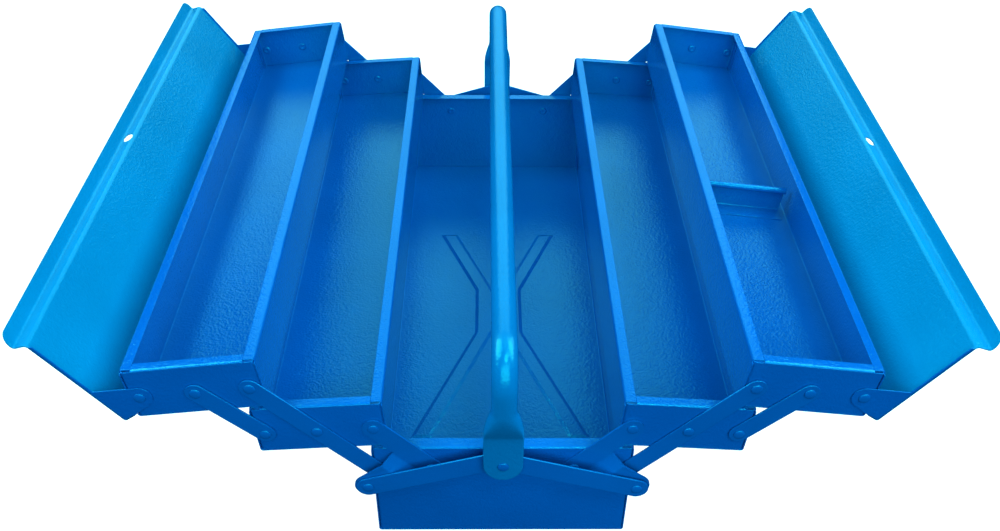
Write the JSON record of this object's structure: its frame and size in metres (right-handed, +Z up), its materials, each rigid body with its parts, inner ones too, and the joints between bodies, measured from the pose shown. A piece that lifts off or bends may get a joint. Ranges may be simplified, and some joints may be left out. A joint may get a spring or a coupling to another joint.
{
  "type": "cantilever tool box",
  "caption": "Blue steel cantilever tool box shown open, with tiered trays on linked arms, hinged lids and a tubular carrying handle.",
  "frame": {"origin": "on the floor, under the middle of the bottom box", "axes": "+X to the right across the box, +Y along the box away from the viewer, +Z up"},
  "size_m": [0.6896, 0.6012, 0.2123],
  "materials": {
    "body": "gloss",
    "lids": "gloss",
    "linkage": "gloss",
    "rivets": "gloss"
  },
  "bodies": {
    "box": {"box_shell": "body", "box_end_front": "body", "box_end_back": "body", "box_rivets": "rivets"},
    "long_links_left": {"long_link_front_left": "linkage", "long_link_back_left": "linkage"},
    "short_links_left": {"short_link_front_left": "linkage", "short_link_back_left": "linkage"},
    "lower_tray_left": {"lower_tray_left": "body", "lower_end_front_left": "body", "lower_end_back_left": "body", "lower_rivets_left": "rivets"},
    "upper_tray_left": {"upper_tray_left": "body", "upper_end_front_left": "body", "upper_end_back_left": "body", "upper_rivets_left": "rivets"},
    "lid_left": {"lid_left": "lids"},
    "cranks_left": {"crank_front_left": "linkage", "crank_back_left": "linkage", "crank_studs_left": "rivets"},
    "bars_left": {"handle_bar_front_left": "linkage", "handle_bar_back_left": "linkage", "bar_rivets_left": "rivets"},
    "long_links_right": {"long_link_front_right": "linkage", "long_link_back_right": "linkage"},
    "short_links_right": {"short_link_front_right": "linkage", "short_link_back_right": "linkage"},
    "lower_tray_right": {"lower_tray_right": "body", "lower_end_front_right": "body", "lower_end_back_right": "body", "lower_rivets_right": "rivets"},
    "upper_tray_right": {"upper_tray_right": "body", "upper_end_front_right": "body", "upper_end_back_right": "body", "upper_rivets_right": "rivets", "divider": "body"},
    "lid_right": {"lid_right": "lids"},
    "cranks_right": {"crank_front_right": "linkage", "crank_back_right": "linkage", "crank_studs_right": "rivets"},
    "bars_right": {"handle_bar_front_right": "linkage", "handle_bar_back_right": "linkage", "bar_rivets_right": "rivets"},
    "handle_rivets": {"handle_rivets": "rivets"},
    "handle": {"handle": "body"}
  },
  "joints": [
    {"name": "fold_right", "type": "hinge", "parent": "box", "child": "long_links_right", "pos_m": [0.095, 0, 0.075], "axis": [0, -1, 0], "range_deg": [0, 86.52]},
    {"name": "lower_turn_right", "type": "hinge", "parent": "long_links_right", "child": "lower_tray_right", "pos_m": [0.13817, 0, 0.1197], "axis": [0, -1, 0], "range_deg": [-82.53, 0]},
    {"name": "upper_turn_right", "type": "hinge", "parent": "long_links_right", "child": "upper_tray_right", "pos_m": [0.18133, 0, 0.1644], "axis": [0, -1, 0], "range_deg": [-79.73, 0]},
    {"name": "short_turn_right", "type": "hinge", "parent": "lower_tray_right", "child": "short_links_right", "pos_m": [0.17657, 0, 0.11702], "axis": [0, -1, 0], "range_deg": [0, 83.69]},
    {"name": "crank_turn_right", "type": "hinge", "parent": "box", "child": "cranks_right", "pos_m": [0.05455, 0, 0.079], "axis": [0, -1, 0], "range_deg": [0, 89.9]},
    {"name": "bar_turn_right", "type": "hinge", "parent": "handle_rivets", "child": "bars_right", "pos_m": [0, 0, 0.099], "axis": [0, -1, 0], "range_deg": [-35.65, 0]},
    {"name": "lid_hinge_right", "type": "hinge", "parent": "upper_tray_right", "child": "lid_right", "pos_m": [0.26127, 0, 0.15487], "axis": [0, -1, 0], "range_deg": [0, 118]},
    {"name": "fold_left", "type": "hinge", "parent": "box", "child": "long_links_left", "pos_m": [-0.095, 0, 0.075], "axis": [0, 1, 0], "range_deg": [0, 86.53]},
    {"name": "lower_turn_left", "type": "hinge", "parent": "long_links_left", "child": "lower_tray_left", "pos_m": [-0.13817, 0, 0.1197], "axis": [0, 1, 0], "range_deg": [-82.53, 0]},
    {"name": "upper_turn_left", "type": "hinge", "parent": "long_links_left", "child": "upper_tray_left", "pos_m": [-0.18133, 0, 0.1644], "axis": [0, 1, 0], "range_deg": [-79.73, 0]},
    {"name": "short_turn_left", "type": "hinge", "parent": "lower_tray_left", "child": "short_links_left", "pos_m": [-0.17657, 0, 0.11702], "axis": [0, 1, 0], "range_deg": [0, 83.69]},
    {"name": "crank_turn_left", "type": "hinge", "parent": "box", "child": "cranks_left", "pos_m": [-0.05455, 0, 0.079], "axis": [0, 1, 0], "range_deg": [0, 89.9]},
    {"name": "bar_turn_left", "type": "hinge", "parent": "handle_rivets", "child": "bars_left", "pos_m": [0, 0, 0.099], "axis": [0, 1, 0], "range_deg": [-35.65, 0]},
    {"name": "lid_hinge_left", "type": "hinge", "parent": "upper_tray_left", "child": "lid_left", "pos_m": [-0.26127, 0, 0.15487], "axis": [0, 1, 0], "range_deg": [0, 118]},
    {"name": "handle_rise", "type": "slide", "parent": "box", "child": "handle_rivets", "axis": [0, 0, 1], "range_m": [0, 0.11374]},
    {"name": "handle_swing", "type": "hinge", "parent": "handle_rivets", "child": "handle", "pos_m": [0, 0, 0.099], "axis": [0, 1, 0], "range_deg": [-45, 45]}
  ],
  "couplings": [
    {"joint": "lower_turn_right", "follows": "fold_right", "ratio": -0.95377},
    {"joint": "upper_turn_right", "follows": "fold_right", "ratio": -0.92141},
    {"joint": "short_turn_right", "follows": "fold_right", "ratio": 0.96716},
    {"joint": "crank_turn_right", "follows": "fold_right", "ratio": 1.039},
    {"joint": "bar_turn_right", "follows": "fold_right", "ratio": -0.41192},
    {"joint": "fold_left", "follows": "fold_right", "ratio": 1},
    {"joint": "lower_turn_left", "follows": "fold_right", "ratio": -0.95377},
    {"joint": "upper_turn_left", "follows": "fold_right", "ratio": -0.92141},
    {"joint": "short_turn_left", "follows": "fold_right", "ratio": 0.96716},
    {"joint": "crank_turn_left", "follows": "fold_right", "ratio": 1.039},
    {"joint": "bar_turn_left", "follows": "fold_right", "ratio": -0.41192},
    {"joint": "handle_rise", "follows": "fold_right", "m_per_rad": 0.075252}
  ]
}
